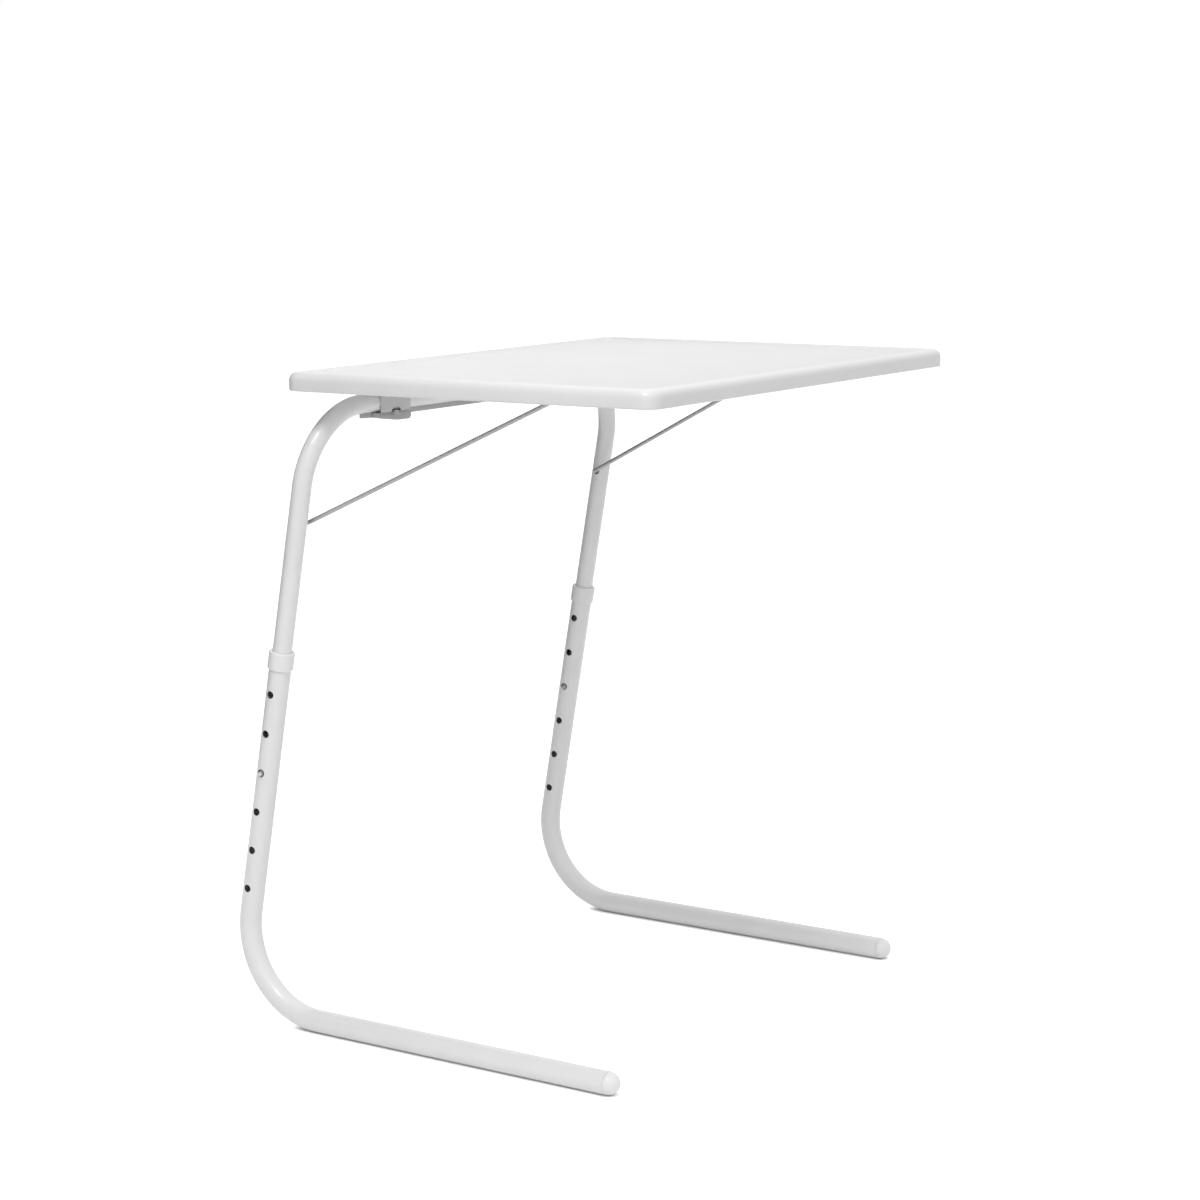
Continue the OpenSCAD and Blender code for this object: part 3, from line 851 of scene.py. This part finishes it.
def model_buttons():
    """Spring-loaded pin with a rounded head, in the third hole from the top; the left tip carries a painted
    glint in lighter steel.
    """
    tip = LOWER_R + BUTTON_OUT
    head = arc((BUTTON_R - BUTTON_DOME, tip - BUTTON_DOME), BUTTON_DOME, 0, 90, 8)
    profile = [(0, FLANGE_OUT - FLANGE_T), (FLANGE_R, FLANGE_OUT - FLANGE_T), (FLANGE_R, FLANGE_OUT),
               (BUTTON_R, FLANGE_OUT), *head, (0, tip)]
    button = lathe("left_button_pin", profile, facing(-ACROSS, post_point(-1, BUTTON_DROP)), 48)
    smooth(button)
    twin = copy_to(button, "right_button_pin", TO_RIGHT_LEG)
    for piece, side in ((button, "left"), (twin, "right")):
        dress(piece, [BUTTON_FINISH, BUTTON_GLINT_FINISH], side + "_button", side + "_snap_button")
    # Painted glint: the flat tip of the left pin takes the lighter steel.
    repaint(button, lambda centre, normal: normal.x < -0.9)


def model_brace():
    """One bent wire: out-turned ends in the posts, two arms, and the bar in the notches."""
    corners = [BRACE_PIVOT - ACROSS * PIN_END_X, BRACE_PIVOT - ACROSS * ARM_X, BRACE_BAR - ACROSS * BAR_X,
               BRACE_BAR + ACROSS * BAR_X, BRACE_PIVOT + ACROSS * ARM_X, BRACE_PIVOT + ACROSS * PIN_END_X]
    brace = sweep("brace_rod", corners, [PIN_BEND, BAR_BEND, BAR_BEND, PIN_BEND], WIRE_R, WIRE_SIDES)
    soften(brace, 0.4 * MM, 2, 60)
    smooth(brace, 40)
    dress(brace, [WIRE_FINISH], "brace", "brace_wire")


def finish_inner_parts():
    """The parts inside the tubes keep their own shape and get a finish."""
    for side in ("left", "right"):
        frame["nodes"][side + "_guide_plug"].data.materials[0] = FITTING_FINISH
        frame["nodes"][side + "_button_spring"].data.materials[0] = SCREW_FINISH


# Camera, light and ground

VIEW_AZIMUTH = -55.65
VIEW_ELEVATION = 9.28
VIEW_ROLL = -0.6
VIEW_DISTANCE = 2694 * MM
VIEW_TARGET = Vector((0, -7 * MM, 388.5 * MM))
VIEW_LENS = 84.6


def set_camera():
    azimuth, elevation = math.radians(VIEW_AZIMUTH), math.radians(VIEW_ELEVATION)
    back = Vector((math.sin(azimuth) * math.cos(elevation), -math.cos(azimuth) * math.cos(elevation),
                   math.sin(elevation)))
    camera = bpy.data.objects.new("camera", bpy.data.cameras.new("camera"))
    camera.data.lens = VIEW_LENS
    camera.data.sensor_width = 36
    camera.data.clip_end = 50
    camera.location = VIEW_TARGET + back * VIEW_DISTANCE
    camera.rotation_mode = "QUATERNION"
    roll = Quaternion((0, 0, 1), math.radians(VIEW_ROLL))
    camera.rotation_quaternion = back.to_track_quat("Z", "Y") @ roll
    bpy.context.scene.collection.objects.link(camera)
    bpy.context.scene.camera = camera


def seen_directly(tree):
    """1 for rays that show the backdrop itself, straight, mirrored or through glass."""
    path = tree.nodes.new("ShaderNodeLightPath")
    total = path.outputs["Is Camera Ray"]
    for name in ("Is Glossy Ray", "Is Transmission Ray"):
        total = figure(tree, "MAXIMUM", total, path.outputs[name])
    return total


GROUND_SIZE = 30
NEAR_TONE = 0.93
FAR_TONE = 0.35
TONE_FALL = (1.0, 2.0)
NEAR_GLOW = 0.6
FAR_GLOW = 1.0
GLOW_RISE = (0.5, 1.6)
CONTACT_REACH = 5 * MM
CONTACT_FALL = 1.5
CARD_BEARING = 104
CARD_DISTANCE = 1.3
CARD_SIZE = 2.4
CARD_LIFT = 0.1
CARD_TONE = (0.01, 0.01, 0.01)
HORIZON_LIGHT = 0.44
ZENITH_LIGHT = 0.85
LAMP_AIM = (0, 0, 0.35)
KEY_PLACE = (-1.49, -0.4, 2.19)
KEY_SIZE = (0.6, 0.6)
KEY_POWER = 16.5
FILL_PLACE = (-2.23, -1.56, 1.34)
FILL_SIZE = (1.5, 1.0)
FILL_POWER = 4.5


def figure(tree, operation, first, second):
    """A calculation node; each of the two inputs is an output socket or a plain number."""
    node = tree.nodes.new("ShaderNodeMath")
    node.operation = operation
    for socket, value in zip(node.inputs, (first, second)):
        if isinstance(value, (int, float)):
            socket.default_value = value
        else:
            tree.links.new(value, socket)
    return node.outputs[0]


def by_distance(tree, reach, near, far):
    """A figure that goes from near to far between two distances from the middle of the ground."""
    coordinates = tree.nodes.new("ShaderNodeTexCoord")
    distance = tree.nodes.new("ShaderNodeVectorMath")
    distance.operation = "LENGTH"
    tree.links.new(coordinates.outputs["Object"], distance.inputs[0])
    change = tree.nodes.new("ShaderNodeMapRange")
    change.interpolation_type = "SMOOTHSTEP"
    for name, value in zip(("From Min", "From Max", "To Min", "To Max"), (*reach, near, far)):
        change.inputs[name].default_value = value
    tree.links.new(distance.outputs["Value"], change.inputs["Value"])
    return change.outputs["Result"]


def glow_level(tree):
    """White glow of the ground: full far away, less near the stand, and none where a foot touches, which
    paints a contact shadow.
    """
    shade = tree.nodes.new("ShaderNodeAmbientOcclusion")
    shade.samples = 16
    shade.inputs["Distance"].default_value = CONTACT_REACH
    contact = figure(tree, "POWER", shade.outputs["AO"], CONTACT_FALL)
    return figure(tree, "MULTIPLY", by_distance(tree, GLOW_RISE, NEAR_GLOW, FAR_GLOW), contact)


def set_ground():
    """White ground that keeps the shadow of the stand."""
    rest_selection()
    bpy.ops.mesh.primitive_plane_add(size=GROUND_SIZE, location=(0, 0, 0))
    ground = settle("ground")
    finish = bpy.data.materials.new("white_ground")
    finish.use_nodes = True
    tree = finish.node_tree
    tree.nodes.clear()
    output = tree.nodes.new("ShaderNodeOutputMaterial")
    both = tree.nodes.new("ShaderNodeAddShader")
    matt = tree.nodes.new("ShaderNodeBsdfDiffuse")
    tree.links.new(by_distance(tree, TONE_FALL, NEAR_TONE, FAR_TONE), matt.inputs["Color"])
    glow = tree.nodes.new("ShaderNodeEmission")
    tree.links.new(figure(tree, "MULTIPLY", glow_level(tree), seen_directly(tree)), glow.inputs["Strength"])
    tree.links.new(matt.outputs[0], both.inputs[0])
    tree.links.new(glow.outputs[0], both.inputs[1])
    tree.links.new(both.outputs[0], output.inputs["Surface"])
    ground.data.materials.append(finish)


def set_card():
    """Black card left of the picture, which draws a dark line along the left edge of the tubes."""
    rest_selection()
    away = math.radians(CARD_BEARING)
    outwards = Vector((math.cos(away), math.sin(away), 0))
    place = outwards * CARD_DISTANCE + UP * (CARD_LIFT + CARD_SIZE / 2)
    upright = outwards.to_track_quat("Z", "Y").to_euler()
    bpy.ops.mesh.primitive_plane_add(size=CARD_SIZE, location=place, rotation=upright)
    card = settle("black_card")
    black, _ = new_finish("black_card", base_color=(*CARD_TONE, 1), roughness=0.9)
    card.data.materials.append(black)
    card.visible_camera = False


def set_world():
    """Soft light that grows towards the zenith; what is seen directly is white."""
    world = bpy.data.worlds.new("studio")
    world.use_nodes = True
    tree = world.node_tree
    tree.nodes.clear()
    output = tree.nodes.new("ShaderNodeOutputWorld")
    choice = tree.nodes.new("ShaderNodeMixShader")
    light = tree.nodes.new("ShaderNodeBackground")
    white = tree.nodes.new("ShaderNodeBackground")
    for shade in (light, white):
        shade.inputs["Color"].default_value = (1, 1, 1, 1)
    direction = tree.nodes.new("ShaderNodeTexCoord")
    parts = tree.nodes.new("ShaderNodeSeparateXYZ")
    tree.links.new(direction.outputs["Generated"], parts.inputs[0])
    height = figure(tree, "MAXIMUM", parts.outputs["Z"], 0.0)
    dome = figure(tree, "MULTIPLY", figure(tree, "POWER", height, 2.0), ZENITH_LIGHT)
    tree.links.new(figure(tree, "ADD", dome, HORIZON_LIGHT), light.inputs["Strength"])
    tree.links.new(seen_directly(tree), choice.inputs["Fac"])
    tree.links.new(light.outputs[0], choice.inputs[1])
    tree.links.new(white.outputs[0], choice.inputs[2])
    tree.links.new(choice.outputs[0], output.inputs["Surface"])
    bpy.context.scene.world = world


def soft_box(name, place, size, power):
    """Rectangular lamp that looks at the stand and is not seen itself."""
    lamp = bpy.data.objects.new(name, bpy.data.lights.new(name, "AREA"))
    lamp.data.shape = "RECTANGLE"
    lamp.data.size, lamp.data.size_y = size
    lamp.data.energy = power
    lamp.location = place
    lamp.rotation_mode = "QUATERNION"
    lamp.rotation_quaternion = (Vector(place) - Vector(LAMP_AIM)).to_track_quat("Z", "Y")
    lamp.visible_camera = False
    bpy.context.scene.collection.objects.link(lamp)


def set_lights():
    """A key from the upper left and a weak fill by the camera."""
    soft_box("key_box", KEY_PLACE, KEY_SIZE, KEY_POWER)
    soft_box("fill_box", FILL_PLACE, FILL_SIZE, FILL_POWER)


set_camera()
model_tray()
model_saddles()
model_strip()
model_screws("hinge_screw_set", hinge_screw_seats(), SADDLE_FLANGE + PAD_HEIGHT + PANEL / 2, "hinge_screws")
model_racks()
model_screws("rack_screw_set", rack_screw_seats(), RACK_EAR_H + PANEL - MM, "rack_screws")
model_upper_frame()
model_lower_legs()
model_collars()
model_foot_caps()
model_buttons()
model_brace()
finish_inner_parts()
set_ground()
set_card()
set_world()
set_lights()
bpy.context.scene.view_settings.view_transform = "Standard"
